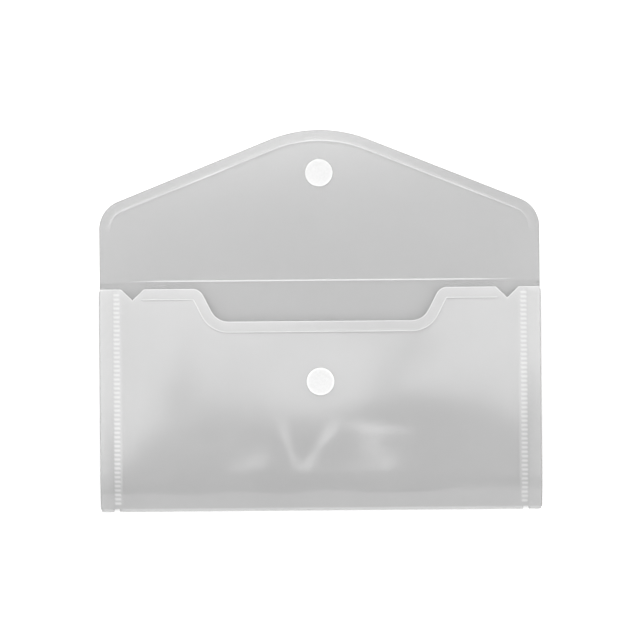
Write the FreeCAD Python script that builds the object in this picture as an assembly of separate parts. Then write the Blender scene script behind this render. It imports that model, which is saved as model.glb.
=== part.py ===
"""Document wallet: a clear polypropylene envelope that lies flat with its flap open.

One die-cut sheet makes the back panel, the flap above it and the front panel that
folds up from the bottom edge. Side gussets of two welded leaves let the pocket spring
open. A round hook pad on the flap meets a round loop pad on the front panel.

Millimetres. X runs across the wallet, Y from the bottom fold to the tip of the flap,
and Z up from the surface that it lies on. The origin is under the middle of the whole
open wallet. Heights up the wallet, called `up` below, are measured from its bottom edge.
"""
import FreeCAD
import Part
import math
import os

# ---- driving dimensions -------------------------------------------------------------
width = 254.0                 # across the wallet, fold to fold
back_height = 132.7           # bottom edge to the scored crease
flap_height = 86.8            # scored crease to the tip of the flap
sheet = 0.3                   # thickness of the polypropylene

flap_slope = 21.4             # degrees of the flap's long edges from the crease
flap_corner_up = 42.0         # crease to where side and slanted edge would meet
flap_shoulder_radius = 17.3
flap_tip_radius = 77.0

crease_below = 1.35           # width of the bending strip below its score line
crease_above = 5.05           # and above it
score_width = 0.6
score_depth = 0.12

fold_radius = 1.25            # outside of the bottom fold
ramp_angle = 15.0             # degrees that the front panel leaves the fold at
ramp_length = 6.5
crown_radius = 60.0           # underside of the bend above the ramp
fall_angle = 0.5              # degrees that the panel falls towards the mouth

front_height = 128.2          # bottom edge to the ears of the front panel
scoop_depth = 19.0            # thumb cut between the ears
ear_inner = 73.3              # half the distance between the ears' round corners
ear_radius = 7.0
scoop_radius = 11.0
scoop_angle = 63.0            # degrees of the straight between the two arcs
notch_centre = 107.7          # relief notches in the mouth, either side of the middle
notch_half_width = 6.6
notch_depth = 6.35

border_inset = 6.1            # embossed border line, from the edge to its middle
bead_width = 0.6
bead_height = 0.12
mouth_bead_reach = 101.5      # half the length of the front panel's border line

leaf_width = 12.7             # gusset leaf, from the side fold to its free edge
side_fold_radius = 0.45       # outside of the side folds
seam_flat = 7.5               # where the leaf's knee lies, in from the side fold
leaf_foot_outer = 1.6         # the leaf's slanted foot, at the fold and at the free edge
leaf_foot_inner = 4.5
leaf_top_outer = 127.1        # and its slanted top
leaf_top_inner = 125.7

seam_gap = 0.2                # between the two leaves where the seam joins them
weld_thickness = 0.16
weld_inset = 10.0             # side fold to the middle of the weld
weld_length = 4.0             # each bar across the wallet
weld_bar = 1.4                # and along it
weld_pitch = 2.55
weld_first = 4.4
weld_last = 124.3

relief_inner = 116.3          # small cut-outs in the bottom fold below the seams
relief_outer = 119.4
relief_depth = 1.75

pad_radius = 7.95             # hook and loop pads, 5/8 inch across
adhesive_radius = 7.8
adhesive_thickness = 0.1
hook_thickness = 1.0
loop_thickness = 1.0
flap_pad_up = 62.0            # crease to the middle of the hook pad
front_pad_up = 74.4           # bottom edge to the middle of the loop pad

fit_gap = 0.02                # between strips that bend and the panels beside them

# ---- places that follow -------------------------------------------------------------
total_height = back_height + flap_height
bottom = -total_height / 2
crease = bottom + back_height
half = width / 2
panel_half = half - side_fold_radius
tall = 40.0                   # taller than anything, for cutting tools
trim = 0.5                    # how far a shape runs past the tool that trims it
UP = FreeCAD.Vector(0, 0, 1)


def vec(x, y, z=0.0):
    return FreeCAD.Vector(x, y, z)


def line(a, b):
    return Part.LineSegment(a, b).toShape()


def arc(a, middle, b):
    return Part.Arc(a, middle, b).toShape()


def polygon_face(points):
    return Part.Face(Part.makePolygon(points + [points[0]]))


def box(x_low, x_high, up_low, up_high, z_low, z_high):
    """A block between heights up the wallet."""
    size = (x_high - x_low, up_high - up_low, z_high - z_low)
    return Part.makeBox(*size, vec(x_low, bottom + up_low, z_low))


def export(shape, name):
    shape.exportStep("parts/" + name + ".step")


# ---- the front panel's side profile, in the plane across the fold ----------------------
def on_profile(up, z):
    return vec(0, bottom + up, z)


def slope_normal(degrees):
    """(up, z) of the sheet's upward normal where it rises at that angle."""
    angle = math.radians(degrees)
    return -math.sin(angle), math.cos(angle)


def step(start, degrees, length):
    """(up, z) reached from start along a slope."""
    angle = math.radians(degrees)
    return start[0] + length * math.cos(angle), start[1] + length * math.sin(angle)


def offset_profile(offset, start_gap):
    """Corner points of the front panel's path, offset outwards from its underside."""
    normal = slope_normal(ramp_angle)
    inner = fold_radius - sheet
    fold_end = (fold_radius + inner * normal[0], fold_radius + inner * normal[1])
    under_start = step(fold_end, ramp_angle, start_gap)
    under_end = step(fold_end, ramp_angle, ramp_length)
    centre = (under_end[0] - crown_radius * normal[0], under_end[1] - crown_radius * normal[1])
    radius = crown_radius + offset

    def on_crown(degrees):
        direction = slope_normal(degrees)
        return centre[0] + radius * direction[0], centre[1] + radius * direction[1]

    start = (under_start[0] + offset * normal[0], under_start[1] + offset * normal[1])
    crown = [on_crown(ramp_angle), on_crown((ramp_angle - fall_angle) / 2), on_crown(-fall_angle)]
    end = step(crown[2], -fall_angle, front_height)
    return [on_profile(*point) for point in [start, *crown, end]]


def profile_face(low, high):
    """The panel's section between two offsets from its underside."""
    below = offset_profile(low, fit_gap)
    above = offset_profile(high, fit_gap)
    edges = [
        line(below[0], below[1]),
        arc(*below[1:4]),
        line(below[3], below[4]),
        line(below[4], above[4]),
        line(above[4], above[3]),
        arc(above[3], above[2], above[1]),
        line(above[1], above[0]),
        line(above[0], below[0]),
    ]
    return Part.Face(Part.Wire(edges))


def top_of_front(up):
    """Height of the front panel's outer face at a distance up the wallet."""
    start, rise_end, _, fall_start, _ = offset_profile(sheet, fit_gap)
    y = bottom + up
    if y <= rise_end.y:
        return start.z + (y - start.y) * math.tan(math.radians(ramp_angle))
    if y >= fall_start.y:
        return fall_start.z - (y - fall_start.y) * math.tan(math.radians(fall_angle))
    radius = crown_radius + sheet
    angle = math.radians(ramp_angle)
    centre_y = rise_end.y + radius * math.sin(angle)
    centre_z = rise_end.z - radius * math.cos(angle)
    return centre_z + math.sqrt(radius ** 2 - (y - centre_y) ** 2)


# ---- outlines -------------------------------------------------------------------------
def flap_outline(low_y):
    """The flap's face in plan, with its lower edge at low_y."""
    slope = math.radians(flap_slope)
    corner = vec(half, crease + flap_corner_up)
    along = vec(-math.cos(slope), math.sin(slope))
    reach = flap_shoulder_radius * math.tan((math.pi / 2 - slope) / 2)
    side_end = corner - vec(0, reach)
    slant_start = corner + along * reach
    shoulder_centre = side_end - vec(flap_shoulder_radius, 0)
    turn = (math.pi / 2 - slope) / 2
    shoulder_middle = shoulder_centre + vec(math.cos(turn), math.sin(turn)) * flap_shoulder_radius
    tip = vec(0, crease + flap_height)
    tip_centre = tip - vec(0, flap_tip_radius)
    tip_start = tip_centre + vec(math.sin(slope), math.cos(slope)) * flap_tip_radius

    def mirrored(point):
        return vec(-point.x, point.y)

    edges = [
        line(vec(-half, low_y), vec(half, low_y)),
        line(vec(half, low_y), side_end),
        arc(side_end, shoulder_middle, slant_start),
        line(slant_start, tip_start),
        arc(tip_start, tip, mirrored(tip_start)),
        line(mirrored(tip_start), mirrored(slant_start)),
        arc(mirrored(slant_start), mirrored(shoulder_middle), mirrored(side_end)),
        line(mirrored(side_end), vec(-half, low_y)),
    ]
    return Part.Face(Part.Wire(edges))


def scoop_points(inset):
    """Right-hand half of the mouth's S curve, moved down into the panel by inset."""
    turn = math.radians(scoop_angle)
    ears_y = bottom + front_height
    fall = scoop_depth - (ear_radius + scoop_radius) * (1 - math.cos(turn))
    straight = fall / math.sin(turn)
    ear_centre = vec(ear_inner, ears_y - ear_radius)
    ear_r = ear_radius - inset
    downhill = vec(-math.cos(turn), -math.sin(turn))
    outward = vec(-math.sin(turn), math.cos(turn))
    bottom_centre = ear_centre + outward * (ear_radius + scoop_radius) + downhill * straight
    scoop_r = scoop_radius + inset

    def from_ear(angle):
        return ear_centre + vec(-math.sin(angle), math.cos(angle)) * ear_r

    def from_scoop(angle):
        return bottom_centre + vec(math.sin(angle), -math.cos(angle)) * scoop_r

    return [from_ear(0), from_ear(turn / 2), from_ear(turn),
            from_scoop(turn), from_scoop(turn / 2), from_scoop(0)]


def mouth_edges(inset, reach):
    """Edges of the mouth from +reach to -reach: ear, S curve, scoop, S curve, ear."""
    right = scoop_points(inset)
    left = [vec(-point.x, point.y) for point in right]
    ear_y = right[0].y
    return [
        line(vec(reach, ear_y), right[0]),
        arc(right[0], right[1], right[2]),
        line(right[2], right[3]),
        arc(right[3], right[4], right[5]),
        line(right[5], left[5]),
        arc(left[5], left[4], left[3]),
        line(left[3], left[2]),
        arc(left[2], left[1], left[0]),
        line(left[0], vec(-reach, ear_y)),
    ]


def front_outline():
    low_y = bottom - trim
    ears_y = bottom + front_height
    edges = mouth_edges(0.0, panel_half) + [
        line(vec(-panel_half, ears_y), vec(-panel_half, low_y)),
        line(vec(-panel_half, low_y), vec(panel_half, low_y)),
        line(vec(panel_half, low_y), vec(panel_half, ears_y)),
    ]
    face = Part.Face(Part.Wire(edges))
    for side in (-1, 1):
        x = side * notch_centre
        notch = [
            vec(x - 2 * notch_half_width, ears_y + notch_depth),
            vec(x, ears_y - notch_depth),
            vec(x + 2 * notch_half_width, ears_y + notch_depth),
        ]
        face = face.cut(polygon_face(notch))
    return face


def mouth_bead():
    """Narrow band that follows the mouth inside its edge."""
    upper = mouth_edges(border_inset - bead_width / 2, mouth_bead_reach)
    lower = mouth_edges(border_inset + bead_width / 2, mouth_bead_reach)
    ends = []
    for index in (0, -1):
        ends.append(line(upper[index].Vertexes[index].Point, lower[index].Vertexes[index].Point))
    return Part.Face(Part.Wire(Part.sortEdges(upper + lower + ends)[0]))


def relief_cutters():
    sides = ((-relief_outer, -relief_inner), (relief_inner, relief_outer))
    return [box(low, high, -trim, relief_depth, -trim, tall) for low, high in sides]


# ---- panels ---------------------------------------------------------------------------
def back_panel():
    top = back_height - crease_below - fit_gap
    shape = box(-panel_half, panel_half, fold_radius, leaf_top_outer, 0, sheet)
    shape = shape.fuse(box(-panel_half, panel_half, leaf_top_outer - trim, top, 0, sheet))
    shape = shape.fuse(box(-half, half, leaf_top_outer + fit_gap, top, 0, sheet))
    for cutter in relief_cutters():
        shape = shape.cut(cutter)
    return shape.removeSplitter()


def bottom_fold():
    """The rolled strip that joins the back panel to the front one."""
    inner = fold_radius - sheet
    end = slope_normal(ramp_angle)
    middle = slope_normal((180 + ramp_angle) / 2)

    def at(radius, direction):
        return on_profile(fold_radius + radius * direction[0], fold_radius + radius * direction[1])

    start = (0.0, -1.0)
    edges = [
        arc(at(fold_radius, start), at(fold_radius, middle), at(fold_radius, end)),
        line(at(fold_radius, end), at(inner, end)),
        arc(at(inner, end), at(inner, middle), at(inner, start)),
        line(at(inner, start), at(fold_radius, start)),
    ]
    shape = Part.Face(Part.Wire(edges)).extrude(vec(2 * panel_half, 0))
    shape.translate(vec(-panel_half, 0))
    for cutter in relief_cutters():
        shape = shape.cut(cutter)
    return shape


def front_layer(outline, low, high):
    """What the outline cuts from the profile between two offsets from its underside."""
    layer = profile_face(low, high).extrude(vec(width, 0))
    layer.translate(vec(-half, 0))
    return layer.common(outline.extrude(UP * tall))


def front_panel():
    shape = front_layer(front_outline(), 0.0, sheet)
    for cutter in relief_cutters():
        shape = shape.cut(cutter)
    bead = front_layer(mouth_bead(), sheet / 2, sheet + bead_height)
    return shape.fuse(bead).removeSplitter()


def flap():
    low_y = crease + crease_above + fit_gap
    shape = flap_outline(low_y).extrude(UP * sheet)
    outline = flap_outline(low_y - 3 * border_inset)
    outer = outline.makeOffset2D(bead_width / 2 - border_inset)
    inner = outline.makeOffset2D(-bead_width / 2 - border_inset)
    bead = outer.cut(inner).extrude(UP * (sheet + bead_height))
    above_crease = Part.makeBox(width, total_height, tall, vec(-half, low_y, -trim))
    return shape.fuse(bead.common(above_crease)).removeSplitter()


def flap_crease():
    """The scored strip that bends when the flap closes."""
    shape = box(-half, half, back_height - crease_below, back_height + crease_above, 0, sheet)
    groove = polygon_face([
        vec(-half, crease - score_width / 2, sheet),
        vec(-half, crease, sheet - score_depth),
        vec(-half, crease + score_width / 2, sheet),
    ])
    return shape.cut(groove.extrude(vec(width, 0)))


# ---- gussets --------------------------------------------------------------------------
def leaf_section(up, side, mirrored):
    """Section of a gusset leaf: half-round side fold, sloping web, flat seam."""
    top = top_of_front(up)
    middle = top / 2
    seam_z = middle - seam_gap / 2 - sheet / 2
    centre_line = side_fold_radius - sheet / 2
    across = seam_flat - side_fold_radius
    climb = seam_z - side_fold_radius
    web = math.sqrt(across ** 2 + climb ** 2 - centre_line ** 2)
    angle = math.atan2(climb, across) - math.atan2(centre_line, web)
    outer = side_fold_radius
    inner = side_fold_radius - sheet
    knee = math.tan(angle / 2) * sheet / 2

    def place(inwards, z):
        """A point by its distance in from the middle of the side fold."""
        height = top - z if mirrored else z
        return vec(side * (panel_half - inwards), bottom + up, height)

    def on_fold(radius, turn):
        """turn is 0 straight down, and grows outwards and up."""
        return place(-radius * math.sin(turn), outer - radius * math.cos(turn))

    full = math.pi - angle
    free_edge = leaf_width - side_fold_radius
    edges = [
        arc(on_fold(outer, 0), on_fold(outer, full / 2), on_fold(outer, full)),
        line(on_fold(outer, full), place(across - knee, seam_z + sheet / 2)),
        line(place(across - knee, seam_z + sheet / 2), place(free_edge, seam_z + sheet / 2)),
        line(place(free_edge, seam_z + sheet / 2), place(free_edge, seam_z - sheet / 2)),
        line(place(free_edge, seam_z - sheet / 2), place(across + knee, seam_z - sheet / 2)),
        line(place(across + knee, seam_z - sheet / 2), on_fold(inner, full)),
        arc(on_fold(inner, full), on_fold(inner, full / 2), on_fold(inner, 0)),
        line(on_fold(inner, 0), on_fold(outer, 0)),
    ]
    return Part.Wire(edges)


def crown_stations(count):
    """Heights up the wallet where the leaf follows the front panel's bend."""
    _, rise_end, _, fall_start, _ = offset_profile(sheet, fit_gap)
    low = rise_end.y - bottom
    high = fall_start.y - bottom
    return [low + (high - low) * index / count for index in range(count + 1)]


def slanted(at_fold, at_free_edge, inwards):
    """Height of a leaf's slanted end at a distance in from the side fold."""
    return at_fold + (at_free_edge - at_fold) * inwards / leaf_width


def gusset_leaf(side, mirrored):
    stations = [leaf_foot_outer - trim, *crown_stations(4), leaf_top_outer + trim]
    sections = [leaf_section(up, side, mirrored) for up in stations]
    leaf = Part.makeLoft(sections, True, True)
    plan = []
    for ends, inwards in (
        ((leaf_foot_outer, leaf_foot_inner), -trim),
        ((leaf_foot_outer, leaf_foot_inner), leaf_width + trim),
        ((leaf_top_outer, leaf_top_inner), leaf_width + trim),
        ((leaf_top_outer, leaf_top_inner), -trim),
    ):
        plan.append(vec(side * (half - inwards), bottom + slanted(*ends, inwards), -trim))
    return leaf.common(polygon_face(plan).extrude(UP * tall))


def side_seam(side):
    """The row of weld bars between the two leaves of one gusset."""
    bars = []
    count = int((weld_last - weld_first) / weld_pitch) + 1
    outer_x = side * (half - weld_inset) - weld_length / 2
    for index in range(count):
        low = weld_first + index * weld_pitch
        corners = []
        for up, share in ((low, -0.5), (low + weld_bar, -0.5), (low + weld_bar, 0.5), (low, 0.5)):
            z = top_of_front(up) / 2 + share * weld_thickness
            corners.append(vec(outer_x, bottom + up, z))
        bars.append(polygon_face(corners).extrude(vec(weld_length, 0)))
    return Part.makeCompound(bars)


# ---- hook and loop pads ----------------------------------------------------------------
def pad_stack(backing, pile):
    """An adhesive disc and the pad on it, standing on the XY plane."""
    adhesive = Part.makeCylinder(adhesive_radius, backing)
    pad = Part.makeCylinder(pad_radius, pile, vec(0, 0, backing))
    return adhesive, pad


def place_on_flap(shape):
    shape.translate(vec(0, crease + flap_pad_up, sheet))
    return shape


def place_on_front(shape):
    shape.rotate(vec(0, 0), vec(1, 0), -fall_angle)
    shape.translate(vec(0, bottom + front_pad_up, top_of_front(front_pad_up)))
    return shape


os.makedirs("parts", exist_ok=True)

export(back_panel(), "back_panel")
export(bottom_fold(), "bottom_fold")
export(front_panel(), "front_panel")
export(flap_crease(), "flap_crease")
export(flap(), "flap")

for side_name, side_sign in (("left", -1), ("right", 1)):
    export(gusset_leaf(side_sign, False), "gusset_back_leaf_" + side_name)
    export(gusset_leaf(side_sign, True), "gusset_front_leaf_" + side_name)
    export(side_seam(side_sign), "side_seam_" + side_name)

hook_adhesive, hook_pad = pad_stack(adhesive_thickness, hook_thickness)
export(place_on_flap(hook_adhesive), "hook_adhesive")
export(place_on_flap(hook_pad), "hook_pad")

loop_adhesive, loop_pad = pad_stack(adhesive_thickness, loop_thickness)
export(place_on_front(loop_adhesive), "loop_adhesive")
export(place_on_front(loop_pad), "loop_pad")
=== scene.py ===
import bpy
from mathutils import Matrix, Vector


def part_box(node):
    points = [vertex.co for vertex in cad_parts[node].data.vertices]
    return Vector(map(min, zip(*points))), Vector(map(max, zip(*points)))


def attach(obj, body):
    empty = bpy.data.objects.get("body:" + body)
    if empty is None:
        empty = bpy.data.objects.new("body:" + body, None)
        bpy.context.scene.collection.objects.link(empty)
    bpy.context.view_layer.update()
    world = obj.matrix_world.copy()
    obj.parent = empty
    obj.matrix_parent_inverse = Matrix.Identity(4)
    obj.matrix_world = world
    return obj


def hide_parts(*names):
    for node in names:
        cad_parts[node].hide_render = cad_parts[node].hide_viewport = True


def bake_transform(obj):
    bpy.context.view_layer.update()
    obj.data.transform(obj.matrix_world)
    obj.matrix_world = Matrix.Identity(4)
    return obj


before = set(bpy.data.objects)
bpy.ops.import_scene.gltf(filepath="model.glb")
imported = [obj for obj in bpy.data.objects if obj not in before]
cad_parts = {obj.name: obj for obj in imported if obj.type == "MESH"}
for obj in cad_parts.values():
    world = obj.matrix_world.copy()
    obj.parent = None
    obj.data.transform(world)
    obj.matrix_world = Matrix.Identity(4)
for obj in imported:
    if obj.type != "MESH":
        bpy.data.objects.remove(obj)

"""Clear polypropylene document wallet, lying open on a white table.

The sheet is modelled as it is made: flat patterns, meshed in their own plane and then
folded onto the wallet's side profile. Lengths are millimetres until a mesh is written.
"""
import bpy
import math
import random
import numpy as np
from mathutils import Matrix, Vector
from mathutils.geometry import delaunay_2d_cdt

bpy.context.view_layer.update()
MM = 0.001
random.seed(7)


# ---- sizes: from the parts in model.glb where it has them, and otherwise the pattern's own ---
def node_box(name):
    low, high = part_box(name)
    return [value / MM for value in low], [value / MM for value in high]


back_low, back_high = node_box("back_panel")
fold_low, _ = node_box("bottom_fold")
_, front_high = node_box("front_panel")
_, flap_high = node_box("flap")
crease_low, crease_high = node_box("flap_crease")
hook_low, hook_high = node_box("hook_pad")
loop_low, loop_high = node_box("loop_pad")

ADHESIVE = 0.1                          # thickness of the film under each pad
HALF = back_high[0]                     # half the wallet's width
SHEET = back_high[2]                    # thickness of the polypropylene
PANEL_HALF = front_high[0]              # half width between the side folds
BOTTOM = fold_low[1]                    # y of the bottom edge
TIP = flap_high[1]                      # y of the flap's tip
STRIP_START = crease_low[1]             # the strip that bends, and the flap beyond it
STRIP_END = crease_high[1]
CREASE = STRIP_START + 1.35             # y of the score line
FRONT_UP = front_high[1] - BOTTOM       # bottom edge to the ears of the mouth
PAD_UP = (loop_low[1] + loop_high[1]) / 2 - BOTTOM

FOLD_RADIUS = back_low[1] - BOTTOM      # outside of the bottom fold
RAMP_ANGLE = math.radians(15.0)
RAMP_LENGTH = 6.5
CROWN_RADIUS = 60.0
FALL_ANGLE = math.radians(0.5)

SCOOP_DEPTH, EAR_INNER, EAR_RADIUS = 19.0, 73.3, 7.0
SCOOP_RADIUS, SCOOP_ANGLE = 11.0, math.radians(63.0)
NOTCH_CENTRE, NOTCH_HALF, NOTCH_DEPTH = 107.7, 6.6, 6.35
RELIEF = (116.3, 119.4, 1.75)           # small cut-outs in the bottom fold: x, x, height
FLAP_SLOPE, FLAP_CORNER_UP = math.radians(21.4), 42.0
SHOULDER_RADIUS, TIP_RADIUS = 17.3, 77.0
BORDER_INSET, MOUTH_BEAD_REACH = 6.1, 101.5

SIDE_FOLD = 0.45                        # outside radius of the side folds
LEAF_WIDTH, SEAM_FLAT = 12.7, 7.5
LEAF_FOOT, LEAF_TOP = (1.6, 4.5), (127.1, 125.7)
SEAM_GAP = 0.2
WELD_INSET, WELD_LENGTH, WELD_BAR = 10.0, 4.0, 1.4
WELD_FIRST, WELD_LAST, WELD_PITCH = 4.4, 124.3, 2.55

BEAD_HALF, BEAD_HEIGHT = 0.5, 0.12      # the embossed lines


# ---- the polypropylene -------------------------------------------------------------------
HAZE = 0.13                             # share of light that each face scatters
CLEAR = (0.71, 0.71, 0.71, 1.0)         # and what it lets through of the rest
MILK = (0.94, 0.94, 0.94, 1.0)
# painted shade: the darker see-through tint that the edge mark lays on cut edges and side folds
EDGE_SHADE = (0.62, 0.62, 0.62, 1.0)
MIRROR = 0.05                           # share that it mirrors, seen straight on
GLOSS = 0.19
FRONT_MILK = 0.17                       # the front panel is scuffed a little more
FLAP_LEAN = 0.018                       # how far the flap's tip leans up, as a slope


# ---- camera, light and table -------------------------------------------------------------
def aim(item, target):
    direction = Vector(target) - item.location
    item.rotation_mode = "QUATERNION"
    item.rotation_quaternion = direction.to_track_quat("-Z", "Y")


def make_camera():
    data = bpy.data.cameras.new("camera")
    camera = bpy.data.objects.new("camera", data)
    bpy.context.scene.collection.objects.link(camera)
    height, view_width = 1.30, 0.3694
    data.sensor_width = 36.0
    data.lens = data.sensor_width * height / view_width
    data.clip_start, data.clip_end = 0.01, 50.0
    camera.location = (0.0, 0.0, height)
    camera.rotation_euler = (0.0, 0.0, math.radians(-0.47))
    bpy.context.scene.camera = camera


def area_light(name, location, target, size, radiance):
    """A softbox. Its power follows from how bright its face is to look like."""
    data = bpy.data.lights.new(name, "AREA")
    data.shape = "RECTANGLE"
    data.size, data.size_y = size
    data.energy = radiance * math.pi * size[0] * size[1]
    light = bpy.data.objects.new(name, data)
    bpy.context.scene.collection.objects.link(light)
    light.location = location
    aim(light, target)


def make_studio():
    scene = bpy.context.scene
    scene.view_settings.view_transform = "Standard"
    scene.cycles.transparent_max_bounces = 32
    world = bpy.data.worlds.new("studio")
    world.use_nodes = True
    background = world.node_tree.nodes["Background"]
    background.inputs["Color"].default_value = (1.0, 1.0, 1.0, 1.0)
    background.inputs["Strength"].default_value = 0.78
    scene.world = world
    area_light("key_softbox", (-0.08, 0.595, 1.15), (0.0, 0.05, 0.0), (1.3, 0.8), 3.8)
    area_light("left_softbox", (-0.80, -0.05, 0.95), (0.0, -0.05, 0.0), (0.5, 1.3), 1.75)
    area_light("right_softbox", (0.80, -0.05, 0.95), (0.0, -0.05, 0.0), (0.5, 1.3), 2.1)
    area_light("front_strip", (0.0, -0.64, 0.85), (0.0, -0.1, 0.0), (1.4, 0.35), 1.15)


def make_table():
    size = 6.0
    mesh = bpy.data.meshes.new("table")
    corners = [(-size, -size, 0), (size, -size, 0), (size, size, 0), (-size, size, 0)]
    mesh.from_pydata(corners, [], [(0, 1, 2, 3)])
    table = bpy.data.objects.new("table", mesh)
    bpy.context.scene.collection.objects.link(table)
    table.location.z = -0.00005
    material = bpy.data.materials.new("table")
    material.use_nodes = True
    surface = material.node_tree.nodes["Principled BSDF"]
    surface.inputs["Base Color"].default_value = (0.86, 0.86, 0.86, 1.0)
    surface.inputs["Roughness"].default_value = 0.9
    surface.inputs["Specular IOR Level"].default_value = 0.0
    mesh.materials.append(material)


# ---- materials ----------------------------------------------------------------------------
class Nodes:
    """Short calls for building one node tree."""

    def __init__(self, name):
        self.material = bpy.data.materials.new(name)
        self.material.use_nodes = True
        self.tree = self.material.node_tree
        self.tree.nodes.clear()

    def add(self, kind, inputs=(), **settings):
        node = self.tree.nodes.new(kind)
        for key, value in settings.items():
            setattr(node, key, value)
        for key, value in dict(inputs).items():
            if isinstance(value, bpy.types.NodeSocket):
                self.tree.links.new(value, node.inputs[key])
            else:
                node.inputs[key].default_value = value
        return node

    def math(self, operation, a, b=0.0, clamp=False):
        return self.add("ShaderNodeMath", {0: a, 1: b}, operation=operation, use_clamp=clamp).outputs[0]

    def noise(self, vector, scale, detail=3.0):
        inputs = {"Vector": vector, "Scale": scale, "Detail": detail}
        return self.add("ShaderNodeTexNoise", inputs).outputs["Fac"]

    def place(self):
        return self.add("ShaderNodeTexCoord").outputs["Object"]

    def bump(self, height, strength, distance, normal=None):
        inputs = {"Height": height, "Strength": strength, "Distance": distance}
        if normal is not None:
            inputs["Normal"] = normal
        return self.add("ShaderNodeBump", inputs).outputs["Normal"]

    def finish(self, shader):
        self.add("ShaderNodeOutputMaterial", {"Surface": shader})
        return self.material


def sheet_material():
    """Satin polypropylene. Marks on the mesh whiten scored and welded places (frost), paint shade
    onto cut edges and side folds as a darker see-through tint (edge) and lean the normal where the sheet
    bows (lean)."""
    n = Nodes("sheet")
    place = n.place()
    frost = n.add("ShaderNodeAttribute", attribute_name="frost").outputs["Fac"]
    # edge marks where painted shade darkens the see-through tint
    edge = n.add("ShaderNodeAttribute", attribute_name="edge").outputs["Fac"]
    lean = n.add("ShaderNodeAttribute", attribute_name="lean").outputs["Vector"]
    plain = n.add("ShaderNodeNewGeometry").outputs["Normal"]
    leaning = n.add("ShaderNodeVectorMath", {0: plain, 1: lean}, operation="ADD").outputs[0]
    leaning = n.add("ShaderNodeVectorMath", {0: leaning}, operation="NORMALIZE").outputs[0]
    grain = n.noise(place, 2600.0, 2.0)
    cloud = n.noise(place, 14.0, 3.0)
    normal = n.bump(grain, 0.025, 0.0001, leaning)
    haze = n.math("ADD", n.math("MULTIPLY", cloud, 0.05), HAZE)
    haze = n.math("ADD", haze, n.math("MULTIPLY", frost, 0.6), clamp=True)
    # painted shade: the see-through tint darkens towards EDGE_SHADE where the edge mark is set
    tint = n.add("ShaderNodeMix", {0: edge, 6: CLEAR, 7: EDGE_SHADE}, data_type="RGBA").outputs[2]
    clear = n.add("ShaderNodeBsdfTransparent", {"Color": tint}).outputs[0]
    back = n.add("ShaderNodeBsdfDiffuse", {"Color": MILK, "Normal": normal}).outputs[0]
    through = n.add("ShaderNodeBsdfTranslucent", {"Color": MILK, "Normal": normal}).outputs[0]
    milky = n.add("ShaderNodeMixShader", {0: 0.35, 1: back, 2: through}).outputs[0]
    body = n.add("ShaderNodeMixShader", {0: haze, 1: clear, 2: milky}).outputs[0]
    facing = n.add("ShaderNodeLayerWeight", {"Blend": 0.5, "Normal": normal}).outputs["Facing"]
    rim = n.math("MULTIPLY", n.math("POWER", facing, 5.0), 1.0 - MIRROR)
    mirror = n.math("ADD", rim, MIRROR)
    shine = n.add("ShaderNodeBsdfGlossy",
                  {"Color": (1.0, 1.0, 1.0, 1.0), "Roughness": GLOSS, "Normal": normal}).outputs[0]
    return n.finish(n.add("ShaderNodeMixShader", {0: mirror, 1: body, 2: shine}).outputs[0])


def seam_material():
    """Welded bars, whitened by the heat and pressure."""
    n = Nodes("seam")
    speckle = n.noise(n.place(), 1800.0, 2.0)
    normal = n.bump(speckle, 0.2, 0.0001)
    alpha = n.math("ADD", n.math("MULTIPLY", speckle, 0.2), 0.8)
    surface = n.add("ShaderNodeBsdfPrincipled", {
        "Base Color": (0.95, 0.95, 0.95, 1.0), "Roughness": 0.45, "Alpha": alpha, "Normal": normal})
    return n.finish(surface.outputs[0])


def tape_material(name, colour, cell):
    """White nylon tape: a woven ground under its pile, matt with a little sheen."""
    n = Nodes(name)
    place = n.place()
    fibres = n.add("ShaderNodeTexVoronoi", {"Vector": place, "Scale": cell}).outputs["Distance"]
    lint = n.noise(place, 900.0, 4.0)
    height = n.math("ADD", fibres, lint)
    normal = n.bump(height, 0.25, 0.0002)
    shade = n.add("ShaderNodeMapRange", {"Value": lint, "From Min": 0.3, "From Max": 0.7,
                                         "To Min": 0.92, "To Max": 1.0}).outputs[0]
    black = (0.0, 0.0, 0.0, 1.0)
    tint = n.add("ShaderNodeMix", {0: shade, 6: black, 7: colour}, data_type="RGBA").outputs[2]
    surface = n.add("ShaderNodeBsdfPrincipled", {
        "Base Color": tint, "Roughness": 0.75, "Sheen Weight": 0.25, "Sheen Roughness": 0.5,
        "Normal": normal})
    return n.finish(surface.outputs[0])


def adhesive_material():
    n = Nodes("adhesive")
    ripple = n.noise(n.place(), 700.0, 2.0)
    normal = n.bump(ripple, 0.1, 0.0001)
    surface = n.add("ShaderNodeBsdfPrincipled", {
        "Base Color": (0.66, 0.66, 0.64, 1.0), "Roughness": 0.4, "Normal": normal})
    return n.finish(surface.outputs[0])


# ---- plane geometry --------------------------------------------------------------------------
def arc_points(centre, radius, start, end, step=1.2):
    """Points on an arc between two angles in degrees, ends included."""
    count = max(3, int(abs(math.radians(end - start)) * abs(radius) / step) + 1)
    angles = np.radians(np.linspace(start, end, count + 1))
    return [(centre[0] + radius * math.cos(a), centre[1] + radius * math.sin(a)) for a in angles]


def mirrored(points):
    return [(-x, y) for x, y in reversed(points)]


def resample(points, step, closed=False):
    """The same line with no gap between its points longer than step."""
    ends = points[1:] + points[:1] if closed else points[1:]
    out = []
    for a, b in zip(points, ends):
        count = max(1, math.ceil(math.dist(a, b) / step))
        out += [(a[0] + (b[0] - a[0]) * k / count, a[1] + (b[1] - a[1]) * k / count) for k in range(count)]
    return out if closed else out + [points[-1]]


def clean(points):
    """Without points that repeat the one before."""
    out = [points[0]]
    for point in points[1:]:
        if math.dist(point, out[-1]) > 1e-4:
            out.append(point)
    return out


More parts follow.
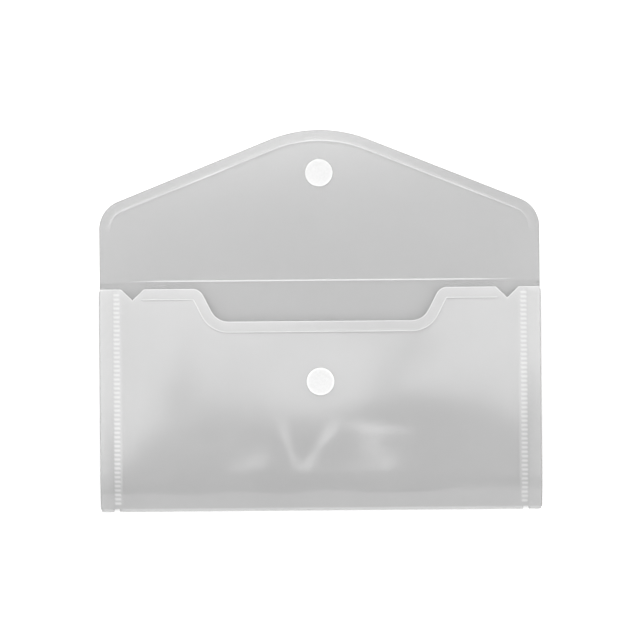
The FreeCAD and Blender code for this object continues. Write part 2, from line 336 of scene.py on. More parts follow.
def distance_to_line(points, line):
    """Distance of each point from a chain of segments."""
    best = np.full(len(points), 1e9)
    for a, b in zip(np.array(line[:-1]), np.array(line[1:])):
        along = b - a
        share = np.clip(((points - a) @ along) / (along @ along), 0.0, 1.0)
        best = np.minimum(best, np.hypot(*(points - a - share[:, None] * along).T))
    return best


def inside(points, loop):
    """Which points lie inside a closed loop."""
    x, y = points[:, 0], points[:, 1]
    result = np.zeros(len(points), bool)
    for (ax, ay), (bx, by) in zip(loop, loop[1:] + loop[:1]):
        if ay == by:
            continue
        crosses = (ay > y) != (by > y)
        result ^= crosses & (x < (bx - ax) * (y - ay) / (by - ay) + ax)
    return result


def smooth(t):
    t = np.clip(t, 0.0, 1.0)
    return t * t * (3.0 - 2.0 * t)


def offset_line(line, distance):
    """A chain moved sideways, by the mean normal at each point."""
    p = np.array(line)
    along = np.gradient(p, axis=0)
    normal = np.stack([-along[:, 1], along[:, 0]], 1)
    normal /= np.linalg.norm(normal, axis=1)[:, None]
    return [tuple(q) for q in p + normal * distance]


# ---- from a flat pattern to a closed sheet -----------------------------------------------------
def mesh_pattern(outline, holes, lines, spacing, extra=()):
    """Triangles of a flat pattern. lines are kept as edges, and extra points as points."""
    loops = [outline, *holes]
    points, edges = [], []
    for loop in loops:
        first = len(points)
        points += loop
        edges += [(first + k, first + (k + 1) % len(loop)) for k in range(len(loop))]
    for line in lines:
        first = len(points)
        points += line
        edges += [(first + k, first + k + 1) for k in range(len(line) - 1)]
    corners = np.array(outline)
    low, high = corners.min(0), corners.max(0)
    rows = np.arange(low[1] + spacing / 2, high[1], spacing * 0.866)
    grid = []
    for index, y in enumerate(rows):
        xs = np.arange(low[0] + spacing * (0.5 if index % 2 else 0.25), high[0], spacing)
        grid.append(np.stack([xs, np.full(len(xs), y)], 1))
    grid = np.vstack(grid)
    if len(extra):
        grid = np.vstack([grid, np.array(extra)])
    keep = inside(grid, outline)
    for hole in holes:
        keep &= ~inside(grid, hole)
    grid = grid[keep]
    keep = np.ones(len(grid), bool)
    for loop in loops:
        keep &= distance_to_line(grid, loop + loop[:1]) > 0.35 * spacing
    for line in lines:
        keep &= distance_to_line(grid, line) > 0.3 * spacing
    points += [tuple(p) for p in grid[keep]]
    found = delaunay_2d_cdt([Vector(p) for p in points], edges, [], 0, 1e-5)
    places = np.array([tuple(p) for p in found[0]])
    faces = np.array([f for f in found[2] if len(f) == 3])
    middles = places[faces].mean(1)
    keep = inside(middles, outline)
    for hole in holes:
        keep &= ~inside(middles, hole)
    return places, faces[keep]


def closed_sheet(name, places, faces, lay, marks, material, ordered=False):
    """A solid sheet: lay(places, side) gives 3-D points of its outer (+1) and inner (-1) face.
    marks holds values per point of the pattern, numbers or vectors, that the material reads."""
    a, b, c = (places[faces[:, k]] for k in range(3))
    area = (b[:, 0] - a[:, 0]) * (c[:, 1] - a[:, 1]) - (b[:, 1] - a[:, 1]) * (c[:, 0] - a[:, 0])
    if not ordered:
        faces = np.where((area > 0)[:, None], faces, faces[:, ::-1])
    used = np.unique(faces)
    index = np.full(len(places), -1)
    index[used] = np.arange(len(used))
    faces, places = index[faces], places[used]
    count = len(places)
    outer, inner = lay(places, 1.0), lay(places, -1.0)
    seen = {(face[k], face[(k + 1) % 3]) for face in faces.tolist() for k in range(3)}
    rim = [(i, j) for i, j in seen if (j, i) not in seen]
    rim.sort()
    polygons = faces.tolist() + (faces[:, ::-1] + count).tolist()
    polygons += [(j, i, i + count, j + count) for i, j in rim]
    p, q, r = (outer[faces[:, k]] for k in range(3))
    if np.einsum("ij,ij->", np.cross(q - p, r - p), (outer - inner)[faces[:, 0]]) < 0:
        polygons = [polygon[::-1] for polygon in polygons]
    mesh = bpy.data.meshes.new(name)
    mesh.from_pydata((np.vstack([outer, inner]) * MM).tolist(), [], polygons)
    mesh.update()
    for key, values in marks.items():
        values = np.concatenate([values[used]] * 2).astype(np.float32)
        if values.ndim == 2:
            mesh.attributes.new(key, "FLOAT_VECTOR", "POINT").data.foreach_set("vector", values.ravel())
        else:
            mesh.attributes.new(key, "FLOAT", "POINT").data.foreach_set("value", values)
    flags = np.ones(len(polygons), bool)
    flags[2 * len(faces):] = False
    mesh.polygons.foreach_set("use_smooth", flags)
    sharpen_rim(mesh, rim, count)
    return add_piece(mesh, material)


def add_piece(mesh, material):
    mesh.materials.append(material)
    piece = bpy.data.objects.new(mesh.name, mesh)
    bpy.context.scene.collection.objects.link(piece)
    return piece


def sharpen_rim(mesh, rim, count):
    """Marks the sheet's cut edges sharp, so that its faces shade flat up to them."""
    wanted = set()
    for i, j in rim:
        wanted.add((min(i, j), max(i, j)))
        wanted.add((min(i, j) + count, max(i, j) + count))
    sharp = mesh.attributes.new("sharp_edge", "BOOLEAN", "EDGE")
    flags = [tuple(sorted(edge.vertices)) in wanted for edge in mesh.edges]
    sharp.data.foreach_set("value", flags)


# ---- the wallet's side profile -------------------------------------------------------------------
CENTRE_RADIUS = FOLD_RADIUS - SHEET / 2
FOLD_TURN = math.pi - RAMP_ANGLE
RAMP_START = FOLD_RADIUS - CENTRE_RADIUS * math.sin(RAMP_ANGLE)
FOLD_START = RAMP_START - CENTRE_RADIUS * FOLD_TURN
RAMP_END = RAMP_START + RAMP_LENGTH * math.cos(RAMP_ANGLE)
RAMP_START_Z = FOLD_RADIUS + CENTRE_RADIUS * math.cos(RAMP_ANGLE)
RAMP_END_Z = RAMP_START_Z + RAMP_LENGTH * math.sin(RAMP_ANGLE)
CROWN = CROWN_RADIUS + SHEET / 2
CROWN_Y = RAMP_END + CROWN * math.sin(RAMP_ANGLE)
CROWN_Z = RAMP_END_Z - CROWN * math.cos(RAMP_ANGLE)
FALL_START = CROWN_Y + CROWN * math.sin(FALL_ANGLE)
FALL_START_Z = CROWN_Z + CROWN * math.cos(FALL_ANGLE)


def front_height(up):
    """Height of the front panel's middle surface, without its waves."""
    up = np.asarray(up, float)
    ramp = RAMP_START_Z + (up - RAMP_START) * math.tan(RAMP_ANGLE)
    crown = CROWN_Z + np.sqrt(np.maximum(CROWN ** 2 - (up - CROWN_Y) ** 2, 0.0))
    fall = FALL_START_Z - (up - FALL_START) * math.tan(FALL_ANGLE)
    return np.where(up < RAMP_END, ramp, np.where(up < FALL_START, crown, fall))


def bow_line(x):
    """Height up the front where its bow turns over: lowest at the sides, highest right of the
    middle."""
    rise = 44.0 * (1.0 - np.exp(-(x + HALF) / 26.0))
    hump = 19.0 * np.exp(-((x - 46.0) / 44.0) ** 2)
    return rise + hump - 14.0 * np.exp((x - HALF) / 14.0)


# Soft creases that handling leaves in the front panel. Each has its start and end (across the
# wallet from its middle, and up it), half width, and strength as a share of the bow's.
CREASES = (
    ((-25.0, 58.0), (-12.0, 17.0), 4.0, 0.52),
    ((-16.0, 15.0), (13.0, 57.0), 4.5, 0.64),
    ((4.0, 50.0), (68.0, 44.0), 4.5, 0.52),
    ((18.0, 46.0), (50.0, 18.0), 11.0, 0.62),
    ((-66.0, 19.0), (8.0, 5.0), 3.0, 0.62),
    ((-4.0, 5.0), (84.0, 16.0), 3.0, 0.62),
    ((-128.0, 4.0), (-46.0, 10.0), 4.5, 0.90),
    ((-66.0, 17.0), (-20.0, 33.0), 8.0, 0.58),
    ((-6.0, 38.0), (80.0, 30.0), 13.0, 0.44),
    ((-38.0, 25.0), (50.0, 22.0), 9.0, 0.46),
    ((-73.0, 112.0), (-86.0, 48.0), 12.0, -0.18),
    ((74.0, 112.0), (20.0, 62.0), 12.0, -0.20),
)


def along_y(values):
    """Vectors along Y of the given lengths."""
    return np.stack([np.zeros_like(values), values, np.zeros_like(values)], 1)


def lean(x, up):
    """How the bow of the sprung front panel leans its face, as what it adds to the normal."""
    full = 0.118 + 0.00088 * (110.0 - up) + 0.016 * np.sin(x / 31.0 + 0.9) * np.sin(up / 24.0)
    width = 8.0 + 5.0 / (1.0 + np.exp((x + 12.0) / 14.0))
    share = 1.0 / (1.0 + np.exp(-(up - bow_line(x)) / width))
    for a, b, half_width, amount in CREASES:
        a, b = np.array(a), np.array(b)
        length = np.linalg.norm(b - a)
        along = (b - a) / length
        off_x, off_up = x - a[0], up - a[1]
        place = (off_x * along[0] + off_up * along[1]) / length
        across = (off_up * along[0] - off_x * along[1]) / half_width
        strength = amount * smooth(place / 0.35) * smooth((1.0 - place) / 0.35) * np.exp(-across ** 2)
        share = share + strength * (share if amount < 0 else 1.0 - share)
    side_band = smooth((np.abs(x) - 117.0) / 3.0)
    share = share * (1.0 - 0.3 * side_band * smooth((115.0 - up) / 90.0))
    return along_y(full * share)


def waves(x, up):
    """The small part of that bow which the mesh itself takes. The gussets hold the sides straight."""
    held = smooth((112.0 - np.abs(x)) / 25.0) * smooth((up - 24.0) / 20.0)
    pad = 1.0 - np.exp(-((x / 20.0) ** 2 + ((up - PAD_UP) / 20.0) ** 2))
    return 0.35 * held * pad * np.sin(x / 27.0 + 0.6) * np.sin(up / 21.0)


def front_surface(x, up):
    return front_height(up) + waves(x, up)


def lay_body(bead_lines):
    """The pattern's second coordinate is height up the front; below the fold it runs on up the back."""

    def lay(places, side):
        x, v = places[:, 0], places[:, 1]
        points = np.zeros((len(places), 3))
        points[:, 0] = x
        back = v <= FOLD_START
        fold = (v > FOLD_START) & (v < RAMP_START)
        front = v >= RAMP_START
        points[back, 1] = FOLD_RADIUS + FOLD_START - v[back]
        points[back, 2] = SHEET / 2 - side * SHEET / 2
        turn = math.pi / 2 + (v[fold] - FOLD_START) / CENTRE_RADIUS
        radius = CENTRE_RADIUS + side * SHEET / 2
        points[fold, 1] = FOLD_RADIUS + radius * np.cos(turn)
        points[fold, 2] = FOLD_RADIUS - radius * np.sin(turn)
        if front.any():
            xf, up = x[front], v[front]
            step = 0.2
            z = front_surface(xf, up)
            rise = (front_surface(xf, up + step) - front_surface(xf, up - step)) / (2 * step)
            rise = np.where(up < RAMP_START + step, math.tan(RAMP_ANGLE), rise)
            length = np.sqrt(1.0 + rise ** 2)
            offset = np.full(len(up), side * SHEET / 2)
            if side > 0:
                offset += bead_profile(places[front], bead_lines)
            points[front, 1] = up - rise / length * offset
            points[front, 2] = z + offset / length
        points[:, 1] += BOTTOM
        return points

    return lay


def bead_profile(points, lines):
    """Height of a rounded embossed line."""
    height = np.zeros(len(points))
    for line in lines:
        near = distance_to_line(points, line) / BEAD_HALF
        height = np.maximum(height, BEAD_HEIGHT * np.clip(1.0 - near ** 2, 0.0, 1.0))
    return height


def frost_and_shade_near(points, lines, width, amount):
    """Whitening beside a line, fading over width. The same fade places painted shade along cut edges."""
    result = np.zeros(len(points))
    for line in lines:
        near = distance_to_line(points, line)
        result = np.maximum(result, amount * (1.0 - smooth(near / width)))
    return result


# ---- outlines ---------------------------------------------------------------------------------
def mouth_line(inset, reach):
    """The mouth from +reach to -reach, or the same line moved down into the panel."""
    turn = SCOOP_ANGLE
    fall = SCOOP_DEPTH - (EAR_RADIUS + SCOOP_RADIUS) * (1 - math.cos(turn))
    straight = fall / math.sin(turn)
    ear = (EAR_INNER, FRONT_UP - EAR_RADIUS)
    reach_between = EAR_RADIUS + SCOOP_RADIUS
    scoop = (ear[0] - math.sin(turn) * reach_between - math.cos(turn) * straight,
             ear[1] + math.cos(turn) * reach_between - math.sin(turn) * straight)
    degrees = math.degrees(turn)
    right = [(reach, FRONT_UP - inset)]
    right += arc_points(ear, EAR_RADIUS - inset, 90, 90 + degrees, 0.8)
    right += list(reversed(arc_points(scoop, SCOOP_RADIUS + inset, -90, -90 + degrees, 0.8)))
    return clean(right + mirrored(right))


def notched_mouth(inset, reach):
    """The mouth with its two relief notches, moved inwards by inset."""
    side = math.hypot(NOTCH_HALF, NOTCH_DEPTH)
    apex = FRONT_UP - NOTCH_DEPTH - inset * side / NOTCH_HALF
    level = FRONT_UP - inset
    half = NOTCH_HALF / NOTCH_DEPTH * (level - apex)
    line = mouth_line(inset, reach)
    out = []
    for a, b in zip(line, line[1:]):
        out.append(a)
        for x in (NOTCH_CENTRE, -NOTCH_CENTRE):
            if a[0] > x > b[0]:
                out += [(x + half, level), (x, apex), (x - half, level)]
    return out + [line[-1]]


def body_outline():
    """Front panel, fold and back panel as one flat pattern, counter-clockwise."""
    top_v = FOLD_START - (STRIP_START - BOTTOM - FOLD_RADIUS)
    leaf_top_v = FOLD_START - (LEAF_TOP[0] - FOLD_RADIUS)
    side = [(-PANEL_HALF, leaf_top_v), (-HALF, leaf_top_v), (-HALF, top_v)]
    return notched_mouth(0.0, PANEL_HALF) + side + [(-x, y) for x, y in reversed(side)]


def relief_holes():
    low_v = FOLD_START - (RELIEF[2] - FOLD_RADIUS)
    holes = []
    for side in (-1, 1):
        xs = sorted((side * RELIEF[0], side * RELIEF[1]))
        corners = [(xs[0], low_v), (xs[1], low_v), (xs[1], RELIEF[2]), (xs[0], RELIEF[2])]
        holes.append(resample(corners, 0.6, closed=True))
    return holes


def flap_outline(low_y, inset=0.0):
    half_turn = (math.pi / 2 - FLAP_SLOPE) / 2
    corner = (HALF, CREASE + FLAP_CORNER_UP)
    reach = SHOULDER_RADIUS * math.tan(half_turn)
    shoulder = (HALF - SHOULDER_RADIUS, corner[1] - reach)
    tip_centre = (0.0, TIP - TIP_RADIUS)
    slope = math.degrees(FLAP_SLOPE)
    right = [(HALF - inset, low_y)]
    right += arc_points(shoulder, SHOULDER_RADIUS - inset, 0, 90 - slope, 0.8)
    right += arc_points(tip_centre, TIP_RADIUS - inset, 90 - slope, 90)
    return clean(right + mirrored(right))


# ---- pieces of the sheet ------------------------------------------------------------------------
BEAD_ROWS = (-0.7, -0.45, -0.22, 0.22, 0.45, 0.7)
SCORE_ROWS = (-0.7, -0.45, -0.2, 0.0, 0.2, 0.45, 0.7)


def beside(line, distances):
    return [offset_line(line, d) for d in distances]


def segments(outline):
    """The straight pieces of a closed outline, each as a line of its own."""
    return [[a, b] for a, b in zip(outline, outline[1:] + outline[:1])]


def make_body(material):
    """Back panel, rolled bottom edge and front panel, all one sheet."""
    outline = resample(body_outline(), 1.6, closed=True)
    holes = relief_holes()
    bead = resample(mouth_line(BORDER_INSET, MOUTH_BEAD_REACH), 1.0)
    lines = [bead] + beside(bead, BEAD_ROWS) + [resample(notched_mouth(0.55, PANEL_HALF - 0.6), 1.2)]
    low_v = FOLD_START - (LEAF_TOP[0] - FOLD_RADIUS)
    for x in (0.6 - PANEL_HALF, PANEL_HALF - 0.6):
        lines.append(resample([(x, low_v + 1.0), (x, FRONT_UP - 0.55)], 1.6))
    fold_vs = np.linspace(FOLD_START, RAMP_START, 13)
    across = np.arange(-PANEL_HALF + 1.2, PANEL_HALF, 1.4)
    rows = [(x, v) for v in fold_vs for x in across]
    weld_ups = np.arange(WELD_FIRST - 0.5, WELD_LAST + 1.6, WELD_PITCH / 4)
    columns = HALF - WELD_INSET + np.array([-2.9, -2.2, -1.1, 0.0, 1.1, 2.2, 2.9])
    rows += [(side * x, up) for up in weld_ups for x in columns for side in (-1, 1)]
    places, faces = mesh_pattern(outline, holes, lines, 2.2, rows)
    x, v = places.T
    frost = frost_and_shade_near(places, [bead], 0.5, 0.5)
    bottom_edge = smooth((v - FOLD_START + 0.4) / 0.5) * smooth((RAMP_START + 0.4 - v) / 0.5)
    frost = np.maximum(frost, 0.45 * bottom_edge)
    low = FRONT_UP - SCOOP_DEPTH - 1.0
    rims = [pair for pair in segments(outline)
            if min(pair[0][1], pair[1][1]) > low and abs(pair[0][0]) < PANEL_HALF - 0.1]
    frost = np.maximum(frost, frost_and_shade_near(places, rims, 0.5, 0.6))
    front = smooth((v - RAMP_END) / 6.0)
    milk = FRONT_MILK * smooth(v - RAMP_START) * (1.0 + 0.3 * smooth((np.abs(x) - 119.0) / 1.5))
    ribs = weld_ribs(HALF - np.abs(x), v)
    sides = [pair for pair in segments(outline) if abs(pair[0][0] + pair[1][0]) > 2 * PANEL_HALF - 1.0]
    marks = {
        "frost": np.maximum(np.maximum(frost, milk), 0.42 * ribs),
        # painted shade along the sheet's cut side edges
        "edge": frost_and_shade_near(places, sides, 0.6, 0.7),
        "lean": lean(x, v) * front[:, None],
    }
    piece = closed_sheet("body_sheet", places, faces, lay_body([bead]), marks, material)
    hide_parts("back_panel", "bottom_fold", "front_panel")
    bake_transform(piece)


def score_share(x):
    """The score line is pressed full depth in the middle and fades towards its ends."""
    return 0.08 + 0.55 * smooth((113.0 - np.abs(x)) / 28.0)


def make_flap(material):
    """The bending strip with its score line, and the flap, all one sheet."""
    outline = resample(flap_outline(STRIP_START), 1.6, closed=True)
    border = resample([p for p in flap_outline(STRIP_START, BORDER_INSET) if p[1] > CREASE + 1.0], 1.0)
    inner_rim = resample(flap_outline(STRIP_START + 0.5, 0.6), 1.4)
    score = [(x, CREASE) for x in np.arange(-HALF + 1.0, HALF - 0.5, 1.0)]
    lines = [border] + beside(border, BEAD_ROWS) + [inner_rim]
    lines += [[(x, y + d) for x, y in score] for d in SCORE_ROWS]
    rows = np.arange(STRIP_START + 0.5, STRIP_END, 0.45)
    strip = [(x, y) for y in rows for x in np.arange(-HALF + 0.8, HALF, 1.2)]
    places, faces = mesh_pattern(outline, [], lines, 2.2, strip)

    def lay(points, side):
        z = np.full(len(points), SHEET / 2 + side * SHEET / 2)
        if side > 0:
            z += bead_profile(points, [border]) + bead_profile(points, [score]) * score_share(points[:, 0])
        return np.stack([points[:, 0], points[:, 1], z], 1)

    x, y = places.T
    pressed = 0.12 + 0.5 * np.exp(-((x + 64.0) / 16.0) ** 2) + 0.4 * np.exp(-(x / 26.0) ** 2)
    pressed = pressed + 0.2 * np.exp(-((x - 70.0) / 30.0) ** 2)
    cut = [pair for pair in segments(outline) if pair[0][1] + pair[1][1] > 2 * STRIP_START + 0.1]
    frost = frost_and_shade_near(places, [border], 0.5, 1.0) * pressed
    marks = {
        "frost": np.maximum(frost, frost_and_shade_near(places, [score], 0.5, 1.0) * score_share(x)),
        # painted shade along the flap's cut outline
        "edge": frost_and_shade_near(places, cut, 0.6, 1.0),
        "lean": along_y(FLAP_LEAN * smooth((y - STRIP_END) / (TIP - STRIP_END))),
    }
    piece = closed_sheet("flap_sheet", places, faces, lay, marks, material)
    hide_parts("flap", "flap_crease")
    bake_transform(piece)


# ---- gussets ------------------------------------------------------------------------------------
def leaf_path(gap):
    """A leaf's middle line and normals, from the side fold to its free edge, for one pocket height.
    Each point is (inwards from the panel's edge, height, normal inwards, normal upwards)."""
    seam_z = gap / 2 - SEAM_GAP / 2 - SHEET / 2
    radius = SIDE_FOLD - SHEET / 2
    across, climb = SEAM_FLAT - SIDE_FOLD, seam_z - SIDE_FOLD
    web = math.sqrt(across ** 2 + climb ** 2 - radius ** 2)
    angle = math.atan2(climb, across) - math.atan2(radius, web)
    path = []
    for turn in np.linspace(0.0, math.pi - angle, 9):
        out, down = -math.sin(turn), -math.cos(turn)
        path.append((radius * out, SIDE_FOLD + radius * down, out, down))
    first = path[-1]
    for share in (0.2, 0.4, 0.6, 0.8, 0.93):
        inwards = first[0] + (across - first[0]) * share
        path.append((inwards, first[1] + (seam_z - first[1]) * share, first[2], first[3]))
    path.append((across, seam_z, -math.sin(angle / 2), math.cos(angle / 2)))
    for inwards in np.linspace(across + 0.45, LEAF_WIDTH - SIDE_FOLD, 11):
        path.append((inwards, seam_z, 0.0, 1.0))
    return path


def weld_ribs(inwards, up):
    """1 on the middle of each weld bar and 0 between bars, by the distance in from the side."""
    across = smooth((WELD_LENGTH / 2 + 0.5 - np.abs(inwards - WELD_INSET)) / 0.8)
    along = smooth((up - WELD_FIRST + 0.4) / 0.5) * smooth((WELD_LAST + 1.8 - up) / 0.5)
    wave = 0.65 + 0.35 * np.cos(2 * math.pi * (up - WELD_FIRST - WELD_BAR / 2) / WELD_PITCH)
    return across * along * wave


def make_leaf(side, mirror_up, material):
    """One gusset leaf. The front leaf is the back leaf upside down under the front panel."""
    width_steps = len(leaf_path(5.0))
    length_steps = 300
    share, station = np.meshgrid(np.linspace(0, 1, length_steps), np.arange(width_steps))
    share, station = share.ravel(), station.ravel()
    ends = np.array([p[0] for p in leaf_path(5.0)])[station] + SIDE_FOLD
    low = LEAF_FOOT[0] + (LEAF_FOOT[1] - LEAF_FOOT[0]) * ends / LEAF_WIDTH
    high = LEAF_TOP[0] + (LEAF_TOP[1] - LEAF_TOP[0]) * ends / LEAF_WIDTH
    up = low + (high - low) * share
    top = front_height(up) + SHEET / 2
    levels = np.linspace(top.min() - 0.01, top.max() + 0.01, 60)
    table = np.array([leaf_path(level) for level in levels])
    at = (top - levels[0]) / (levels[1] - levels[0])
    index = at.astype(int)
    part = (at - index)[:, None]
    path = table[index, station] * (1 - part) + table[index + 1, station] * part
    ribs = weld_ribs(ends, up)

    def lay(points, layer):
        offset = layer * SHEET / 2 - (0.1 * ribs if layer < 0 else 0.0)
        inwards = path[:, 0] + path[:, 2] * offset
        height = path[:, 1] + path[:, 3] * offset
        if mirror_up:
            height = top - height
        return np.stack([side * (PANEL_HALF - inwards), BOTTOM + up, height], 1)

    grid = np.stack([ends + 0.001 * station, up], 1)
    corner = np.arange(width_steps * length_steps).reshape(width_steps, length_steps)
    a, b = corner[:-1, :-1].ravel(), corner[1:, :-1].ravel()
    c, d = corner[1:, 1:].ravel(), corner[:-1, 1:].ravel()
    faces = np.vstack([np.stack([a, b, c], 1), np.stack([a, c, d], 1)])
    free = smooth((ends - LEAF_WIDTH + 1.5) / 0.8)
    marks = {
        "frost": np.clip(ribs + 0.8 * free, 0.0, 1.0),
        # painted shade over the side fold of each leaf
        "edge": 0.8 * (station < 9),
        "lean": along_y(np.zeros(len(up))),
    }
    name = ("front" if mirror_up else "back") + "_leaf_" + ("right" if side > 0 else "left")
    piece = closed_sheet(name, grid, faces, lay, marks, material, ordered=True)
    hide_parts("gusset_" + name)
    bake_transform(piece)


def weld_bar(centre, half_size, thickness, sides=20):
    """A bar with round corners and soft faces: its points and faces."""
    rings = []
    for share, lift in ((1.0, 0.35), (0.86, 0.85), (0.5, 1.0)):
        ring = []
        for angle in np.linspace(0, 2 * math.pi, sides, endpoint=False):
            c, s = math.cos(angle), math.sin(angle)
            x = math.copysign(abs(c) ** 0.45, c) * half_size[0] * share
            y = math.copysign(abs(s) ** 0.45, s) * half_size[1] * share
            ring.append((x, y, lift * thickness / 2))
        rings.append(ring)
    upper = [p for ring in rings for p in ring] + [(0.0, 0.0, thickness / 2)]
    lower = [(x, y, -z) for x, y, z in upper]
    points = [(centre[0] + x, centre[1] + y, centre[2] + z) for x, y, z in upper + lower]
    count = len(upper)
    faces = []
    for level in (0, 1):
        for k in range(sides):
            m = (k + 1) % sides
            quad = (level * sides + k, level * sides + m, (level + 1) * sides + m, (level + 1) * sides + k)
            faces += [quad, tuple(i + count for i in reversed(quad))]
    for k in range(sides):
        m = (k + 1) % sides
        cap = (2 * sides + k, 2 * sides + m, count - 1)
        faces += [cap, tuple(i + count for i in reversed(cap)), (k + count, m + count, m, k)]
    return points, faces


def solid_mesh(name, parts, material):
    """One piece from several closed shells."""
    points, faces = [], []
    for some_points, some_faces in parts:
        faces += [tuple(i + len(points) for i in face) for face in some_faces]
        points += [tuple(p) for p in some_points]
    mesh = bpy.data.meshes.new(name)
    mesh.from_pydata([(x * MM, y * MM, z * MM) for x, y, z in points], [], faces)
    mesh.update()
    mesh.polygons.foreach_set("use_smooth", np.ones(len(faces), bool))
    return add_piece(mesh, material)


def make_seam(side, material):
    """The row of bars that welds the two leaves of one gusset together."""
    bars = []
    for index in range(int((WELD_LAST - WELD_FIRST) / WELD_PITCH) + 1):
        up = WELD_FIRST + index * WELD_PITCH + WELD_BAR / 2
        middle = float(front_height(up) + SHEET / 2) / 2
        centre = (side * (HALF - WELD_INSET), BOTTOM + up, middle)
        bars.append(weld_bar(centre, (WELD_LENGTH / 2, WELD_BAR / 2), 0.18))
    name = "side_seam_" + ("right" if side > 0 else "left")
    piece = solid_mesh("weld_" + name, bars, material)
    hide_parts(name)
    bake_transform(piece)


# ---- hook and loop pads ---------------------------------------------------------------------------
def lathe(profile, segments=72):
    """A closed shell turned about Z from (radius, height) points that start and end on the axis."""
    ring = profile[1:-1]
    points = [(0.0, 0.0, profile[0][1])]
    for radius, height in ring:
        for k in range(segments):
            angle = 2 * math.pi * k / segments
            points.append((radius * math.cos(angle), radius * math.sin(angle), height))
    points.append((0.0, 0.0, profile[-1][1]))
    faces = []
    for k in range(segments):
        m = (k + 1) % segments
        faces.append((0, 1 + m, 1 + k))
        for level in range(len(ring) - 1):
            low, high = 1 + level * segments, 1 + (level + 1) * segments
            faces.append((low + k, low + m, high + m, high + k))
        last = 1 + (len(ring) - 1) * segments
        faces.append((last + k, last + m, len(points) - 1))
    return points, faces


def tube(path, plane_normal, radius, sides=5):
    """A closed thread along a path that lies in one plane."""
    path = np.array(path, float)
    along = np.gradient(path, axis=0)
    along /= np.linalg.norm(along, axis=1)[:, None]
    normal = np.array(plane_normal, float)
    points, faces = [], []
    for place, direction in zip(path, along):
        second = np.cross(direction, normal)
        for k in range(sides):
            angle = 2 * math.pi * k / sides
            points.append(place + radius * (math.cos(angle) * normal + math.sin(angle) * second))
    for low in range(0, (len(path) - 1) * sides, sides):
        for k in range(sides):
            m = (k + 1) % sides
            faces.append((low + m, low + k, low + sides + k, low + sides + m))
    faces.append(tuple(range(sides)))
    faces.append(tuple(reversed(range(len(points) - sides, len(points)))))
    return points, faces


def hook(x, y, base, height, heading, bend=0.13, radius=0.075):
    """One hook of the pile: a stem that bends over at its top."""
    c, s = math.cos(heading), math.sin(heading)
    path = [(x, y, base), (x, y, base + 0.5 * (height - bend)), (x, y, base + height - bend)]
    for angle in np.radians(np.linspace(30, 200, 6)):
        out = bend * (1 - math.cos(angle))
        path.append((x + c * out, y + s * out, base + height - bend + bend * math.sin(angle)))
    return tube(path, (-s, c, 0.0), radius)


def loop(x, y, base, height, heading, span, radius=0.05):
    """A loop of thread standing on the tape."""
    c, s = math.cos(heading), math.sin(heading)
    path = []
    for angle in np.radians(np.linspace(0, 180, 9)):
        out = -span / 2 * math.cos(angle)
        path.append((x + c * out, y + s * out, base + height * math.sin(angle)))
    return tube(path, (-s, c, 0.0), radius, 4)


PAD_RADIUS = (hook_high[0] - hook_low[0]) / 2
PILE_RADIUS = PAD_RADIUS - 0.75
GROUND = 0.42                           # thickness of the tape under its pile
TAPE = ((0.0, 0.0), (PAD_RADIUS - 0.1, 0.0), (PAD_RADIUS, 0.09), (PAD_RADIUS, GROUND - 0.12),
        (PAD_RADIUS - 0.12, GROUND), (PILE_RADIUS + 0.15, GROUND), (PILE_RADIUS, GROUND - 0.08),
        (4.0, GROUND - 0.08), (0.0, GROUND - 0.08))


def pile_places(spacing, jitter):
    """A hexagonal field of places inside the pile's circle."""
    places = []
    for row, y in enumerate(np.arange(-PILE_RADIUS, PILE_RADIUS, spacing * 0.866)):
        for x in np.arange(-PILE_RADIUS, PILE_RADIUS, spacing):
            px = x + (spacing / 2 if row % 2 else 0.0) + random.uniform(-jitter, jitter)
            py = y + random.uniform(-jitter, jitter)
            if math.hypot(px, py) < PILE_RADIUS - 0.35:
                places.append((px, py, row))
    return places


def stand(piece, centre, lean=0.0):
    """Puts a pad that was made on the XY plane where it belongs."""
    piece.data.transform(Matrix.Translation(Vector(centre) * MM) @ Matrix.Rotation(lean, 4, "X"))


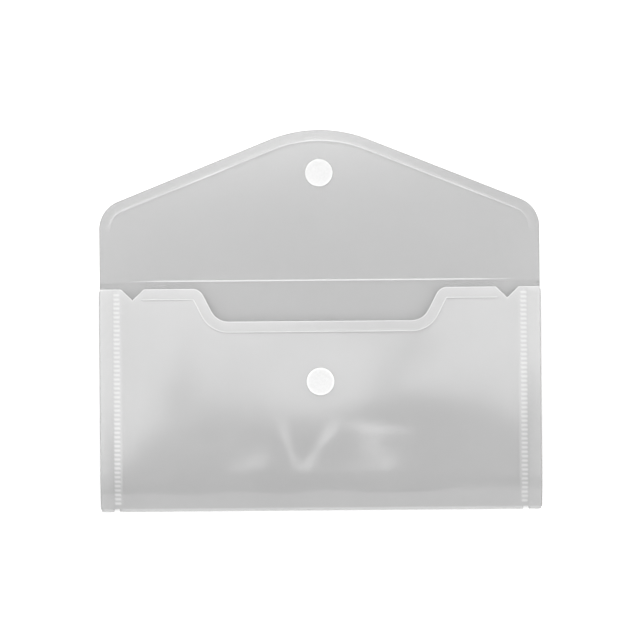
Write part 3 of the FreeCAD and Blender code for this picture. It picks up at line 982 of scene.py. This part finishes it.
def make_hook_pad(material):
    """The hook pad on the flap. Gives back where its foot is."""
    low = GROUND - 0.15
    height = hook_high[2] - hook_low[2] - GROUND + 0.12
    parts = [lathe(TAPE)]
    for x, y, row in pile_places(0.86, 0.04):
        heading = math.pi / 2 if row % 2 else -math.pi / 2
        parts.append(hook(x, y, low, height, heading + random.uniform(-0.2, 0.2)))
    piece = solid_mesh("hook_tape", parts, material)
    foot = ((hook_low[0] + hook_high[0]) / 2, (hook_low[1] + hook_high[1]) / 2, hook_low[2])
    stand(piece, foot)
    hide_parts("hook_pad")
    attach(piece, "flap")
    return foot


def make_loop_pad(material):
    """The loop pad on the front panel. Gives back where its foot is."""
    thickness = hook_high[2] - hook_low[2]
    parts = [lathe(TAPE)]
    for x, y, _ in pile_places(0.62, 0.16):
        heading = random.uniform(0, math.pi)
        height = (thickness - GROUND + 0.05) * random.uniform(0.75, 1.0)
        parts.append(loop(x, y, GROUND - 0.15, height, heading, random.uniform(0.35, 0.6)))
    piece = solid_mesh("loop_tape", parts, material)
    foot = (0.0, BOTTOM + PAD_UP, float(front_height(PAD_UP)) + SHEET / 2 + ADHESIVE)
    stand(piece, foot, -FALL_ANGLE)
    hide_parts("loop_pad")
    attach(piece, "front")
    return foot


def make_adhesive(node, body, pad_foot, lean, material):
    """The film between a pad and the sheet."""
    profile = ((0.0, 0.0), (PAD_RADIUS - 0.2, 0.0), (PAD_RADIUS - 0.15, ADHESIVE / 2),
               (PAD_RADIUS - 0.2, ADHESIVE), (0.0, ADHESIVE))
    piece = solid_mesh(node + "_film", [lathe(profile)], material)
    stand(piece, (pad_foot[0], pad_foot[1], pad_foot[2] - ADHESIVE), lean)
    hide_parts(node)
    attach(piece, body)


make_camera()
make_studio()
make_table()
sheet = sheet_material()
make_body(sheet)
make_flap(sheet)
weld = seam_material()
for side in (-1, 1):
    make_leaf(side, False, sheet)
    make_leaf(side, True, sheet)
    make_seam(side, weld)
hook_foot = make_hook_pad(tape_material("hook", (0.61, 0.61, 0.61, 1.0), 1500.0))
loop_foot = make_loop_pad(tape_material("loop", (0.655, 0.655, 0.655, 1.0), 1100.0))
glue = adhesive_material()
make_adhesive("hook_adhesive", "flap", hook_foot, 0.0, glue)
make_adhesive("loop_adhesive", "front", loop_foot, -FALL_ANGLE, glue)
